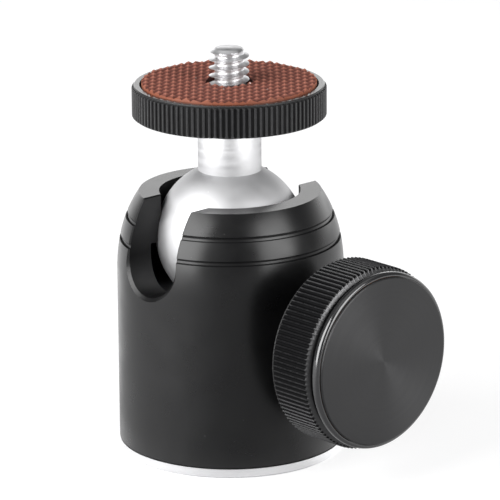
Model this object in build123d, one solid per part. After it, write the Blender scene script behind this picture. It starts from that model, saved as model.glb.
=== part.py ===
from build123d import *
import math
import os

# Tripod ball head with one clamp knob. Millimetres, +Z up, the origin at the centre of the
# base's underside, the knob along +X and the two drop notches along +Y and -Y.

thread_gap = 0.02         # between screws and the holes that they are tight in
running_gap = 0.05        # between shafts and the holes that they turn or slide in
cut_past = 1.0            # cutters reach this far past a face
driver_slot_w = 0.9       # driver slots in the camera screw and the reducer bush
driver_slot_h = 1.1
rib_depth = 0.3           # ribs of the platform and the knob
rib_crest_share = 0.36    # share of a rib's pitch that is its flat crest

# --- ball and stem ---------------------------------------------------------------------
housing_top = 42.0        # flat ring round the mouth
ball_r = 11.85
ball_depth = 7.35         # the ball's centre lies this far below the flat ring
ball_z = housing_top - ball_depth
ball_gap = 0.12           # running gap round the ball
stem_r = 5.0
stem_reach = 19.4         # from the ball's centre to the stem's end
stem_top = ball_z + stem_reach
stem_edge = 0.25

# --- housing ---------------------------------------------------------------------------
body_r = 18.0             # outside of the housing
crown_h = 12.8            # the wall starts to lean inwards this far below the flat ring
shoulder_z = housing_top - crown_h
knee_inset = 0.45         # where the gentle arc hands over to the crown arc
knee_rise = 5.1
knee_r = body_r - knee_inset
knee_z = shoulder_z + knee_rise
crown_inset = 3.6
top_flat_r = body_r - crown_inset      # outer edge of the flat ring
mouth_lip = 0.65
mouth_r = ball_r - mouth_lip           # straight mouth that holds the ball in
seat_wall = 1.35
bore_r = ball_r + seat_wall            # bore for the ball seat, open at the bottom
bearing_drop = 0.25
bore_step_z = ball_z - bearing_drop    # the bore ends here, the ball's upper bearing starts
groove_drops = (3.65, 7.2)             # grooves round the crown, below the flat ring
groove_width = 0.72
groove_depth = 0.34
housing_edge = 0.25       # small bevel at the housing's lower edge

# --- drop notches ----------------------------------------------------------------------
notch_side_gap = 0.4      # room on each side of the stem
notch_half_width = stem_r + notch_side_gap
notch_depth = 14.15
notch_arc_z = housing_top - notch_depth + notch_half_width
notch_bevel = 0.5
notch_top_edge = 0.2      # small bevel where the notch cuts the flat ring

# --- camera platform -------------------------------------------------------------------
platform_gap = 0.05       # the platform turns over the stem's end
platform_r = 15.3
platform_h = 5.15
platform_edge = 0.15
platform_ribs = 106
rim_band_h = 0.3          # smooth band above the ribs
rim_width = 1.3
rim_inner_r = platform_r - rim_width
pad_recess = 0.75
pad_side_gap = 0.25
pad_r = rim_inner_r - pad_side_gap
pad_h = 1.3
pad_pitch = 1.53          # between the rows of small pyramids on the pad
pad_groove_depth = 0.5
pad_tip_w = 0.16          # flat at the top of each pyramid
film_h = 0.15             # adhesive film under the pad
film_inset = 0.3

# --- camera screw, 1/4 inch ------------------------------------------------------------
stud_r = 3.175
stud_above_pad = 5.0
stud_in_stem = 9.2
stud_edge = 0.6
stud_relief_r = 2.55      # plain neck between the held thread and the free thread
stud_relief_rise = 0.15   # the neck ends this far above the pad
pad_hole_gap = 0.525
pad_hole_r = stud_r + pad_hole_gap

# --- base ------------------------------------------------------------------------------
flange_inset = 0.05
flange_r = body_r - flange_inset
flange_h = 1.5
flange_edge = 0.3
spigot_h = 7.0            # plug of the base plate inside the bore
spigot_gap = 0.08
spigot_r = bore_r - spigot_gap
spigot_wall = 1.02
spring_pocket_r = spigot_r - spigot_wall
spring_pocket_floor = 4.6
bush_r = 4.7625           # 3/8 inch outside of the reducer bush
boss_wall = 3.2375
boss_r = bush_r + boss_wall            # threaded middle of the base plate
socket_r = 2.55           # core of its 1/4 inch thread
base_h = flange_h + spigot_h
base_screw_count = 4
base_screw_r = 0.8
base_screw_head_r = 1.55
base_screw_head_h = 0.75
base_screw_length = 6.5
base_screw_margin = 0.55  # from the screw heads to the flange's edge
base_screw_pcr = flange_r - base_screw_head_r - base_screw_margin
hex_key_r = 0.6
hex_key_depth = 0.6

# --- ball seat, its spring and washer -----------------------------------------------------
clamp_drop = 1.3          # the clamp's axis lies this far below the ball
knob_z = ball_z - ball_r - clamp_drop
seat_gap = 0.08
seat_depth = 8.0
seat_bottom = knob_z - seat_depth
seat_lip_drop = 7.45
seat_top = ball_z - seat_lip_drop
washer_h = 0.5
washer_side_gap = 0.5
washer_rim_gap = 0.3
washer_in_r = boss_r + washer_side_gap
washer_out_r = spring_pocket_r - washer_rim_gap
spring_r = (washer_in_r + washer_out_r) / 2      # mean radius of the coil
spring_wire = 1.1
spring_turns = 3.5
spring_end_gap = 0.05
seat_foot = 1.0           # the seat's ring reaches this far inside the spring
seat_skirt_r = spring_r - spring_wire / 2 - seat_foot
seat_skirt_h = 2.6

# --- clamp -------------------------------------------------------------------------------
screw_r = 3.0             # M6
screw_edge = 0.3
clamp_travel = 1.5        # way out that the clamp screw has before its clip stops it
clip_h = 0.6
clip_neck = 0.45
clip_seat_r = screw_r - clip_neck
clip_width = 1.05
clip_r = clip_seat_r + clip_width
clip_gap = 0.05
clip_stop_gap = 0.1
clip_x = math.sqrt(bore_r**2 - clip_r**2) - clip_stop_gap - clamp_travel - clip_h
clip_mouth_angle = 80.0
screw_nose = 0.95         # the screw ends this far inside its clip
screw_in_x = clip_x - screw_nose
tip_seat_gap = 0.01
tip_step = 0.1
tip_r = screw_r - tip_step
tip_end_r = 0.8
tip_half_angle = 30.0
tip_slope = math.tan(math.radians(tip_half_angle))
tip_base_x = screw_in_x - tip_seat_gap
tip_x = tip_base_x - (tip_r - tip_end_r) / tip_slope      # point of the brass tip
tip_pin_r = 1.45
tip_pin_length = 3.0
tip_pin_end_gap = 0.2
pocket_drop = 0.5         # the seat's pocket sits lower than the tip, which lifts it
pocket_gap = 0.06
pocket_end_gap = 0.4
pocket_mouth_gap = 1.0
pocket_mouth_r = clip_r + pocket_mouth_gap
pocket_mouth_x = clip_x - pocket_end_gap

# --- knob --------------------------------------------------------------------------------
hub_wall = 2.8
knob_hub_r = screw_r + hub_wall
knob_washer_h = 0.6
knob_washer_inset = 0.2
knob_washer_r = knob_hub_r - knob_washer_inset
spot_margin = 0.5
spot_r = knob_hub_r + spot_margin      # flat milled on the housing round the clamp screw
spot_depth = 1.2
spot_x = body_r - spot_depth
knob_standoff = 1.2       # washer and air between that flat and the hub
knob_hub_x = spot_x + knob_standoff
knob_hub_h = 6.3
knob_back_x = knob_hub_x + knob_hub_h
knob_r = 14.4
knob_ribs = 110
knob_rib_h = 7.6
knob_lip_inset = 0.4
knob_lip_r = knob_r - knob_lip_inset
knob_lip_h = 0.4          # smooth lip behind the ribs
knob_rib_end_x = knob_back_x + knob_lip_h + knob_rib_h
knob_front_edge = 0.5
knob_neck_inset = 1.3
knob_neck_r = knob_r - knob_neck_inset
knob_neck_h = 0.66
knob_bead_inset = 0.52
knob_bead_r = knob_r - knob_bead_inset # polished rounded ring in front of the neck
knob_bead_h = 1.2
knob_bead_round = 0.5
knob_bead_back_round = 0.35
knob_bead_x = knob_rib_end_x + knob_neck_h
knob_front_x = knob_bead_x + knob_bead_h
cap_rim_w = 0.58          # the bead's front is a rim round the cap
cap_recess = 0.51
cap_recess_r = knob_bead_r - cap_rim_w
cap_floor_x = knob_front_x - cap_recess
nut_across_flats = 10.0
nut_corner_r = nut_across_flats / math.sqrt(3)
nut_h = 3.2
nut_edge = 0.4
nut_edge_slope = 1.7      # the nut's rounding runs in this much further than it drops
nut_pocket_gap = 1.43
nut_pocket_r = nut_corner_r + nut_pocket_gap
nut_pocket_depth = 4.15
nut_pocket_x = cap_floor_x - nut_pocket_depth
screw_past_nut = 0.5
screw_out_x = nut_pocket_x + nut_h + screw_past_nut
cap_film_h = 0.2
cap_film_inset = 0.25
cap_side_gap = 0.1
cap_r = cap_recess_r - cap_side_gap
cap_film_r = cap_r - cap_film_inset
cap_h = 0.65
cap_edge = 0.18


def turned(points):
    """A solid of revolution about Z from (radius, height) corners."""
    return revolve(Plane.XZ * make_face(Polyline(*points, close=True)), Axis.Z)


def ring(inner_r, outer_r, low, high):
    """A plain ring or, with no inner radius, a plain disc."""
    return turned([(inner_r, low), (outer_r, low), (outer_r, high), (inner_r, high)])


def along_x(solid, height=knob_z):
    """Lay a solid that was made along Z along +X, at the clamp's height."""
    return Pos(0, 0, height) * Rot(0, 90, 0) * solid


def ribbed_prism(count, crest_r, low, high):
    """A straight-knurled prism: flat crests with V valleys between them."""
    root_r = crest_r - rib_depth
    pitch = 2 * math.pi / count
    half_crest = rib_crest_share * pitch / 2
    points = []
    for index in range(count):
        middle = index * pitch
        for angle, radius in (
            (middle - half_crest, crest_r),
            (middle + half_crest, crest_r),
            (middle + pitch / 2, root_r),
        ):
            points.append((radius * math.cos(angle), radius * math.sin(angle)))
    outline = make_face(Polyline(*points, close=True))
    return Pos(0, 0, low) * extrude(outline, high - low)


# --- housing -----------------------------------------------------------------------------
def crown_arcs():
    """The gentle shoulder arc and the crown arc that runs on from it, in (radius, height)."""
    shoulder = TangentArc((body_r, shoulder_z), (knee_r, knee_z), tangent=(0, 1))
    crown = TangentArc((knee_r, knee_z), (top_flat_r, housing_top), tangent=shoulder % 1)
    return shoulder, crown


def outside_radius(height):
    """Outside radius of the housing above its shoulder, at a height."""
    shoulder, crown = crown_arcs()
    arc = crown if height > knee_z else shoulder
    centre = arc.arc_center
    return centre.X + math.sqrt(arc.radius**2 - (height - centre.Y) ** 2)


def notch_cutter():
    """A round-ended slot right through the housing along Y."""
    slot_end = Pos(0, notch_arc_z) * Circle(notch_half_width)
    high = housing_top + cut_past
    slot_sides = Pos(0, (notch_arc_z + high) / 2) * Rectangle(
        2 * notch_half_width, high - notch_arc_z
    )
    return extrude(Plane.XZ * (slot_end + slot_sides), body_r + cut_past, both=True)


def notch_flare():
    """A flared slot along Y that bevels the notches' edges on the flat ring."""
    outline = Polyline(
        (-notch_half_width, housing_top - notch_top_edge),
        (notch_half_width, housing_top - notch_top_edge),
        (notch_half_width + notch_top_edge + cut_past, housing_top + cut_past),
        (-notch_half_width - notch_top_edge - cut_past, housing_top + cut_past),
        close=True,
    )
    return extrude(Plane.XZ * make_face(outline), body_r + cut_past, both=True)


def housing():
    bearing_r = ball_r + ball_gap
    step_r = math.sqrt(bearing_r**2 - bearing_drop**2)
    mouth_z = ball_z + math.sqrt(bearing_r**2 - mouth_r**2)
    shoulder, crown = crown_arcs()
    bearing = ThreePointArc((mouth_r, mouth_z), (bearing_r, ball_z), (step_r, bore_step_z))
    outside = Polyline(
        (bore_r, flange_h),
        (body_r - housing_edge, flange_h),
        (body_r, flange_h + housing_edge),
        (body_r, shoulder_z),
    )
    mouth = Polyline((top_flat_r, housing_top), (mouth_r, housing_top), (mouth_r, mouth_z))
    inside = Polyline((step_r, bore_step_z), (bore_r, bore_step_z), (bore_r, flange_h))
    profile = make_face([outside, shoulder, crown, mouth, bearing, inside])
    shell = revolve(Plane.XZ * profile, Axis.Z)
    shell -= notch_cutter()
    rim_edges = [
        edge
        for edge in shell.edges()
        if abs(edge.center().X) < notch_half_width + notch_bevel / 2
        and math.hypot(edge.center().X, edge.center().Y) > top_flat_r
        and edge.center().Z > notch_arc_z - notch_half_width - notch_bevel
    ]
    shell = chamfer(rim_edges, notch_bevel) - notch_flare()
    for drop in groove_drops:
        height = housing_top - drop
        step = groove_width / 4
        radius = outside_radius(height)
        lean = (outside_radius(height - step) - outside_radius(height + step)) / (2 * step)
        half = groove_width / 2
        shell -= turned(
            [
                (radius + cut_past + half * lean, height - half),
                (radius + half * lean, height - half),
                (radius - groove_depth, height),
                (radius - half * lean, height + half),
                (radius + cut_past - half * lean, height + half),
            ]
        )
    spot = Cylinder(spot_r, body_r, align=(Align.CENTER, Align.CENTER, Align.MIN))
    shell -= along_x(Pos(0, 0, spot_x) * spot)
    shell -= along_x(Cylinder(screw_r + running_gap, body_r, align=(Align.CENTER, Align.CENTER, Align.MIN)))
    for place in base_screw_places():
        shell -= place * Cylinder(
            base_screw_r + thread_gap,
            base_screw_length + cut_past,
            align=(Align.CENTER, Align.CENTER, Align.MIN),
        )
    return shell


# --- base --------------------------------------------------------------------------------
def base_screw_places():
    turn = 360 / base_screw_count
    return [
        Rot(0, 0, turn * (index + 0.5)) * Pos(base_screw_pcr, 0, 0)
        for index in range(base_screw_count)
    ]


def base_screw(gap=0.0):
    """A countersunk screw, head down; gap makes the hole that it fits."""
    head_r = base_screw_head_r + gap
    shank_r = base_screw_r + gap
    return turned(
        [
            (0, 0),
            (head_r, 0),
            (shank_r, base_screw_head_h),
            (shank_r, base_screw_length),
            (0, base_screw_length),
        ]
    )


def base_screws():
    key = extrude(RegularPolygon(hex_key_r, 6), hex_key_depth)
    return Compound(children=[place * (base_screw() - key) for place in base_screw_places()])


def base_plate():
    hole_r = bush_r + thread_gap
    plate = turned(
        [
            (hole_r, 0),
            (flange_r - flange_edge, 0),
            (flange_r, flange_edge),
            (flange_r, flange_h),
            (spigot_r, flange_h),
            (spigot_r, base_h - flange_edge),
            (spigot_r - flange_edge, base_h),
            (spring_pocket_r, base_h),
            (spring_pocket_r, spring_pocket_floor),
            (boss_r, spring_pocket_floor),
            (boss_r, base_h),
            (hole_r, base_h),
        ]
    )
    for place in base_screw_places():
        plate -= place * base_screw(thread_gap)
    return plate


def reducer_bush():
    bush = ring(socket_r, bush_r, 0, base_h)
    slot = Box(2 * bush_r + cut_past, driver_slot_w, driver_slot_h, align=(Align.CENTER, Align.CENTER, Align.MAX))
    return bush - Pos(0, 0, base_h) * slot


# --- ball seat ---------------------------------------------------------------------------
def tip_radius(x):
    """Radius of the tip's cone, or of the cone run on past it."""
    return tip_end_r + (x - tip_x) * tip_slope


def ball_seat():
    outer_r = bore_r - seat_gap
    cup = turned(
        [
            (seat_skirt_r, seat_bottom),
            (outer_r, seat_bottom),
            (outer_r, seat_top),
            (0, seat_top),
            (0, seat_bottom + seat_skirt_h),
            (seat_skirt_r, seat_bottom + seat_skirt_h),
        ]
    )
    cup -= Pos(0, 0, ball_z) * Sphere(ball_r + ball_gap)
    spread = pocket_drop + pocket_gap
    pocket_end_x = tip_x - pocket_end_gap
    mouth_end_x = outer_r + cut_past
    pocket = turned(
        [
            (0, pocket_end_x),
            (tip_radius(pocket_end_x) + spread, pocket_end_x),
            (tip_radius(pocket_mouth_x) + spread, pocket_mouth_x),
            (pocket_mouth_r, pocket_mouth_x),
            (pocket_mouth_r, mouth_end_x),
            (0, mouth_end_x),
        ]
    )
    return cup - along_x(pocket, knob_z - pocket_drop)


def spring_washer():
    return ring(washer_in_r, washer_out_r, spring_pocket_floor, spring_pocket_floor + washer_h)


def seat_spring():
    low = spring_pocket_floor + washer_h + spring_end_gap + spring_wire / 2
    high = seat_bottom - spring_end_gap - spring_wire / 2
    path = Pos(0, 0, low) * Helix((high - low) / spring_turns, high - low, spring_r)
    section = Plane(origin=path @ 0, x_dir=(1, 0, 0), z_dir=path % 0) * Rectangle(
        spring_wire, spring_wire
    )
    return sweep(section, path=path, is_frenet=True)


# --- ball, stem and platform ---------------------------------------------------------------
stud_low = stem_top - stud_in_stem
platform_low = stem_top + platform_gap
platform_top = platform_low + platform_h
pad_low = platform_top - pad_recess + film_h
pad_top = pad_low + pad_h


def ball_and_stem():
    stem = turned(
        [
            (0, ball_z),
            (stem_r, ball_z),
            (stem_r, stem_top - stem_edge),
            (stem_r - stem_edge, stem_top),
            (0, stem_top),
        ]
    )
    hole = ring(0, stud_r + running_gap, stud_low - stud_edge / 2, stem_top + cut_past)
    return Pos(0, 0, ball_z) * Sphere(ball_r) + stem - hole


def platform_disc():
    hole_r = stud_r + thread_gap
    band_r = platform_r - rib_depth
    band_low = platform_top - rim_band_h
    grip = turned(
        [
            (hole_r, platform_low),
            (platform_r - platform_edge, platform_low),
            (platform_r, platform_low + platform_edge),
            (platform_r, band_low - platform_edge),
            (platform_r - platform_edge, band_low),
            (hole_r, band_low),
        ]
    )
    grip &= ribbed_prism(platform_ribs, platform_r, platform_low, band_low)
    band = turned(
        [
            (hole_r, band_low),
            (band_r, band_low),
            (band_r, platform_top - platform_edge),
            (band_r - platform_edge, platform_top),
            (hole_r, platform_top),
        ]
    )
    return grip + band - ring(0, rim_inner_r, platform_top - pad_recess, platform_top + cut_past)


def pad_film():
    return ring(pad_hole_r + film_inset, pad_r - film_inset, pad_low - film_h, pad_low)


def pad_grooves():
    """V grooves right across the pad, side by side along X, which leave straight ridges."""
    half_w = (pad_pitch - pad_tip_w) / 2
    outline = Polyline(
        (-half_w, pad_top),
        (0, pad_top - pad_groove_depth),
        (half_w, pad_top),
        (half_w, pad_top + cut_past),
        (-half_w, pad_top + cut_past),
        close=True,
    )
    groove = extrude(Plane.XZ * make_face(outline), pad_r + cut_past, both=True)
    outermost = math.floor((pad_r + half_w) / pad_pitch)
    places = range(-outermost, outermost + 1)
    return [Pos(index * pad_pitch, 0, 0) * groove for index in places]


def rubber_pad():
    pad = ring(pad_hole_r, pad_r, pad_low, pad_top)
    pad -= pad_grooves()
    return pad - [Rot(0, 0, 90) * groove for groove in pad_grooves()]


def camera_screw():
    top = pad_top + stud_above_pad
    neck_low = platform_top - pad_recess
    neck_high = pad_top + stud_relief_rise
    screw = turned(
        [
            (0, stud_low),
            (stud_r - stud_edge / 2, stud_low),
            (stud_r, stud_low + stud_edge / 2),
            (stud_r, neck_low),
            (stud_relief_r, neck_low),
            (stud_relief_r, neck_high),
            (stud_r, neck_high),
            (stud_r, top - stud_edge),
            (stud_r - stud_edge, top),
            (0, top),
        ]
    )
    slot = Box(2 * stud_r + cut_past, driver_slot_w, driver_slot_h, align=(Align.CENTER, Align.CENTER, Align.MIN))
    return screw - Pos(0, 0, stud_low) * slot


# --- clamp and knob ------------------------------------------------------------------------
def clamp_tip():
    base = tip_base_x
    return along_x(
        turned(
            [
                (0, tip_x),
                (tip_end_r, tip_x),
                (tip_r, base),
                (tip_pin_r, base),
                (tip_pin_r, base + tip_pin_length),
                (0, base + tip_pin_length),
            ]
        )
    )


def clamp_screw():
    pin_bore_r = tip_pin_r + running_gap
    pin_bore_x = tip_base_x + tip_pin_length + tip_pin_end_gap
    return along_x(
        turned(
            [
                (pin_bore_r, screw_in_x),
                (screw_r - screw_edge, screw_in_x),
                (screw_r, screw_in_x + screw_edge),
                (screw_r, clip_x - clip_gap),
                (clip_seat_r, clip_x - clip_gap),
                (clip_seat_r, clip_x + clip_h + clip_gap),
                (screw_r, clip_x + clip_h + clip_gap),
                (screw_r, screw_out_x - screw_edge),
                (screw_r - screw_edge, screw_out_x),
                (0, screw_out_x),
                (0, pin_bore_x),
                (pin_bore_r, pin_bore_x),
            ]
        )
    )


def stop_clip():
    """An open spring clip on the clamp screw, which stops the knob from coming out."""
    clip = ring(clip_seat_r + clip_gap, clip_r, clip_x, clip_x + clip_h)
    reach = 2 * clip_r
    half_mouth = math.radians(clip_mouth_angle / 2)
    mouth = extrude(
        make_face(
            Polyline(
                (0, 0),
                (reach * math.cos(half_mouth), reach * math.sin(half_mouth)),
                (reach * math.cos(half_mouth), -reach * math.sin(half_mouth)),
                close=True,
            )
        ),
        clip_x + clip_h + cut_past,
    )
    return along_x(clip - mouth)


def knob_washer():
    return along_x(
        ring(screw_r + thread_gap, knob_washer_r, knob_hub_x - knob_washer_h, knob_hub_x)
    )


def knob_body():
    hole_r = screw_r + thread_gap
    neck_x = knob_rib_end_x
    bead_x = knob_bead_x
    front_x = knob_front_x
    ribs_x = knob_back_x + knob_lip_h
    grip = turned(
        [
            (hole_r, ribs_x),
            (knob_r, ribs_x),
            (knob_r, knob_rib_end_x - knob_front_edge),
            (knob_r - knob_front_edge, knob_rib_end_x),
            (hole_r, knob_rib_end_x),
        ]
    )
    grip &= ribbed_prism(knob_ribs, knob_r, ribs_x, knob_rib_end_x)
    back = turned(
        [
            (hole_r, knob_hub_x),
            (knob_hub_r, knob_hub_x),
            (knob_hub_r, knob_back_x),
            (knob_lip_r - knob_lip_h / 2, knob_back_x),
            (knob_lip_r, knob_back_x + knob_lip_h / 2),
            (knob_lip_r, ribs_x),
            (hole_r, ribs_x),
        ]
    )
    back_r = knob_bead_r - knob_bead_back_round
    front_r = knob_bead_r - knob_bead_round
    side_low = bead_x + knob_bead_back_round
    side_high = front_x - knob_bead_round
    neck = Polyline((hole_r, neck_x), (knob_neck_r, neck_x), (knob_neck_r, bead_x), (back_r, bead_x))
    back_corner = TangentArc((back_r, bead_x), (knob_bead_r, side_low), tangent=(1, 0))
    side = Line((knob_bead_r, side_low), (knob_bead_r, side_high))
    front_corner = TangentArc((knob_bead_r, side_high), (front_r, front_x), tangent=(0, 1))
    front = Polyline((front_r, front_x), (hole_r, front_x), (hole_r, neck_x))
    bead = revolve(Plane.XZ * make_face([neck, back_corner, side, front_corner, front]), Axis.Z)
    recess = ring(0, cap_recess_r, cap_floor_x, front_x + cut_past)
    pocket = ring(0, nut_pocket_r, nut_pocket_x, front_x + cut_past)
    return along_x(back + grip + bead - recess - pocket)


def knob_nut():
    hexagon = extrude(RegularPolygon(nut_across_flats / 2, 6, major_radius=False), nut_h)
    rounding = turned(
        [
            (screw_r + thread_gap, 0),
            (nut_corner_r, 0),
            (nut_corner_r, nut_h - nut_edge),
            (nut_corner_r - nut_edge_slope * nut_edge, nut_h),
            (screw_r + thread_gap, nut_h),
        ]
    )
    return along_x(Pos(0, 0, nut_pocket_x) * (hexagon & rounding))


def cap_film():
    return along_x(ring(nut_pocket_r + film_inset, cap_film_r, cap_floor_x, cap_floor_x + cap_film_h))


def knob_cap():
    low = cap_floor_x + cap_film_h
    high = low + cap_h
    return along_x(
        turned([(0, low), (cap_r, low), (cap_r, high - cap_edge), (cap_r - cap_edge, high), (0, high)])
    )


makers = [
    housing,
    base_plate,
    base_screws,
    reducer_bush,
    ball_seat,
    spring_washer,
    seat_spring,
    ball_and_stem,
    platform_disc,
    pad_film,
    rubber_pad,
    camera_screw,
    clamp_tip,
    clamp_screw,
    stop_clip,
    knob_washer,
    knob_body,
    knob_nut,
    cap_film,
    knob_cap,
]

os.makedirs("parts", exist_ok=True)
for maker in makers:
    piece = maker()
    export_step(piece, os.path.join("parts", maker.__name__ + ".step"))
    print(maker.__name__, round(piece.volume, 1))
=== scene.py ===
import bpy
import math
from mathutils import Matrix, Vector


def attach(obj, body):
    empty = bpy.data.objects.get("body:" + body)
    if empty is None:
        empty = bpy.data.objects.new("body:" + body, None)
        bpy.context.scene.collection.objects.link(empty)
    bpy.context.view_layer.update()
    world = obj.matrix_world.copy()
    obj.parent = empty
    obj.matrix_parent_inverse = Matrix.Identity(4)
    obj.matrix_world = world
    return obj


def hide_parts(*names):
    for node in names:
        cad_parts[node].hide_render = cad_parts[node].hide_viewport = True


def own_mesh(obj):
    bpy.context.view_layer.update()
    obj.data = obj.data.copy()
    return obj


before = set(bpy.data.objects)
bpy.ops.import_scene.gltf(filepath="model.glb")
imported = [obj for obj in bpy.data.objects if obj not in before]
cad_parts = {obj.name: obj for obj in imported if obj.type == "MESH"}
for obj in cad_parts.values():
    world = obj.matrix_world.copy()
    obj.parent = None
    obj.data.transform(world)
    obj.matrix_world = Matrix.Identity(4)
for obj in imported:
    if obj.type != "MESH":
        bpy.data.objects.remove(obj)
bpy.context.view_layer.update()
print("stage: frame loaded")

mm = 0.001
weld = 0.0000005            # vertices nearer than this become one
knobHeight = 21.5 * mm      # height of the clamp's axis
ballHeight = 34.65 * mm
origin = (0, 0, 0)
knobCentre = (0, 0, knobHeight)
upAxis = (0, 0, 1)
sideAxis = (1, 0, 0)


def named(name):
    # the object that the last call added
    item = bpy.context.object
    item.name = name
    return item


def towards(turn, lift):
    # a direction, by its degrees from the front round to the right and up from the level
    a = math.radians(turn)
    e = math.radians(lift)
    return Vector((math.sin(a) * math.cos(e), -math.cos(a) * math.cos(e), math.sin(e)))


# camera
cameraSet = {
    "turn": 47.16,
    "lift": 16.42,
    "roll": -0.386,
    "distance": 0.600,
    "lens": 272.44,
    "sensor": 36,
    "near": 0.01,
    "aimHeight": 0.03201,
    "aimAside": 0.003097,
}


def placeCamera():
    s = cameraSet
    turn, roll = math.radians(s["turn"]), math.radians(s["roll"])
    back = towards(s["turn"], s["lift"])
    level = Vector((math.cos(turn), math.sin(turn), 0))
    steep = back.cross(level)
    right = level * math.cos(roll) + steep * math.sin(roll)
    up = steep * math.cos(roll) - level * math.sin(roll)
    target = Vector((0, 0, s["aimHeight"])) + right * s["aimAside"]
    bpy.ops.object.camera_add()
    camera = named("camera")
    place = Matrix((right, up, back)).transposed().to_4x4()
    place.translation = target + back * s["distance"]
    camera.matrix_world = place
    camera.data.lens = s["lens"]
    camera.data.sensor_width = s["sensor"]
    camera.data.clip_start = s["near"]
    bpy.context.scene.camera = camera


placeCamera()
print("stage: camera placed")


# shader nodes of a material, the world or a group
class Tree:
    def __init__(self, owner):
        self.nodes = owner.nodes
        self.links = owner.links

    def feed(self, value, socket):
        # a socket takes another node's output or a plain value
        if isinstance(value, bpy.types.NodeSocket):
            self.links.new(value, socket)
        else:
            socket.default_value = value

    def add(self, kind, inputs={}, **settings):
        node = self.nodes.new("ShaderNode" + kind)
        for label, value in settings.items():
            setattr(node, label, value)
        for label, value in inputs.items():
            self.feed(value, node.inputs[label])
        return node

    def calc(self, operation, *values):
        return self.add("Math", dict(enumerate(values)), operation=operation).outputs[0]

    def vector(self, operation, *values):
        node = self.add("VectorMath", dict(enumerate(values)), operation=operation)
        return node.outputs["Value" if operation in ("DOT_PRODUCT", "LENGTH") else "Vector"]

    def between(self, value, low, high, toLow=0.0, toHigh=1.0):
        inputs = {"Value": value, "From Min": low, "From Max": high, "To Min": toLow, "To Max": toHigh}
        return self.add("MapRange", inputs, interpolation_type="SMOOTHSTEP").outputs["Result"]

    def mix(self, factor, first, second):
        return self.add("Mix", {"Factor": factor, "A": first, "B": second}).outputs["Result"]

    def mixColour(self, factor, first, second):
        first, second = ((*c, 1) if isinstance(c, tuple) else c for c in (first, second))
        return self.add("Mix", {"Factor": factor, 6: first, 7: second}, data_type="RGBA").outputs[2]

    def coords(self, kind="Object"):
        return self.add("TexCoord").outputs[kind]

    def height(self, place):
        return self.add("SeparateXYZ", {0: place}).outputs["Z"]

    def noise(self, place, scale, detail, rough=0.5):
        inputs = {"Vector": place, "Scale": scale, "Detail": detail, "Roughness": rough}
        return self.add("TexNoise", inputs).outputs["Fac"]

    def facing(self, place, turn):
        # how nearly a direction or place lies towards a turn, from -1 to 1
        level = self.vector("NORMALIZE", self.vector("MULTIPLY", place, (1, 1, 0)))
        return self.vector("DOT_PRODUCT", level, towards(turn, 0))


# floor, backdrop light and lamps
studioSet = {
    "floorSize": 3.0,
    "floorDrop": 0.00002,
    "floorColour": (0.34, 0.34, 0.345, 1),
    "floorRough": 0.9,
    "floorGlow": 0.72,      # lifts the floor to white for the camera, the shadow stays
    "sideGlow": 0.45,       # what glossy faces see of the floor on its lit side
    "sideTurn": -60,        # middle of that side, degrees
    "sideEase": (-0.2, 0.9),
    "backGlow": 0.70,       # and of the white floor behind
    "backAside": 27,        # its middle lies this far round from the backdrop's
    "backEase": (-0.25, 0.35),
    "nearGlow": 0.30,       # and of the floor close round the foot
    "nearEase": (0.022, 0.030),
    "dim": 0.14,            # the room away from backdrop and lamps
    "backdrop": 2.15,
    "backTurn": 214,        # middle of the backdrop
    "backSides": (0.35, 0.90),
    "backFade": (0.1, 0.45),    # it fades out between these, as sines of the lift
    "overhead": 0.62,
    "overheadEase": (0.72, 0.95),
    "aim": (0.004, 0, 0.035),
    "lamps": {
        # name: (turn, lift, distance, width, height, power)
        "leftSoftbox": (-12, 24, 0.70, 0.72, 0.68, 9.4),
        "rightSoftbox": (99, 19, 0.75, 0.48, 0.60, 4.5),
    },
}


def buildFloor():
    s = studioSet
    bpy.ops.object.select_all(action="DESELECT")
    bpy.ops.mesh.primitive_plane_add(size=s["floorSize"], location=(0, 0, -s["floorDrop"]))
    floor = named("floor")
    material = bpy.data.materials.new("paleFloor")
    material.use_nodes = True
    tree = Tree(material.node_tree)
    shader = tree.nodes["Principled BSDF"]
    tree.feed(s["floorColour"], shader.inputs["Base Color"])
    tree.feed(s["floorRough"], shader.inputs["Roughness"])
    place = tree.coords()
    side = tree.between(tree.facing(place, s["sideTurn"]), *s["sideEase"], 0.0, s["sideGlow"])
    backTurn = s["backTurn"] - s["backAside"]
    back = tree.between(tree.facing(place, backTurn), *s["backEase"], 0.0, s["backGlow"])
    near = tree.between(tree.vector("LENGTH", place), *s["nearEase"], s["nearGlow"], 0.0)
    glossy = tree.calc("ADD", tree.calc("ADD", side, back), near)
    path = tree.add("LightPath").outputs
    level = tree.mix(path["Is Camera Ray"], glossy, s["floorGlow"])
    seen = tree.calc("MAXIMUM", path["Is Camera Ray"], path["Is Glossy Ray"])
    glow = tree.add("Emission", {"Strength": tree.calc("MULTIPLY", seen, level)})
    both = tree.add("AddShader", {0: shader.outputs[0], 1: glow.outputs[0]})
    tree.feed(both.outputs[0], tree.nodes["Material Output"].inputs["Surface"])
    floor.data.materials.append(material)


def buildSky():
    s = studioSet
    world = bpy.data.worlds.new("studio")
    bpy.context.scene.world = world
    world.use_nodes = True
    tree = Tree(world.node_tree)
    sky = tree.nodes["Background"]
    tree.feed((1, 1, 1, 1), sky.inputs["Color"])
    place = tree.coords("Generated")
    height = tree.height(place)
    around = tree.between(tree.facing(place, s["backTurn"]), *s["backSides"])
    below = tree.between(height, *s["backFade"], 1.0, 0.0)
    level = tree.mix(tree.calc("MULTIPLY", around, below), s["dim"], s["backdrop"])
    level = tree.mix(tree.between(height, *s["overheadEase"]), level, s["overhead"])
    fromCamera = tree.add("LightPath").outputs["Is Camera Ray"]
    tree.feed(tree.mix(fromCamera, level, 1.0), sky.inputs["Strength"])


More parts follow.
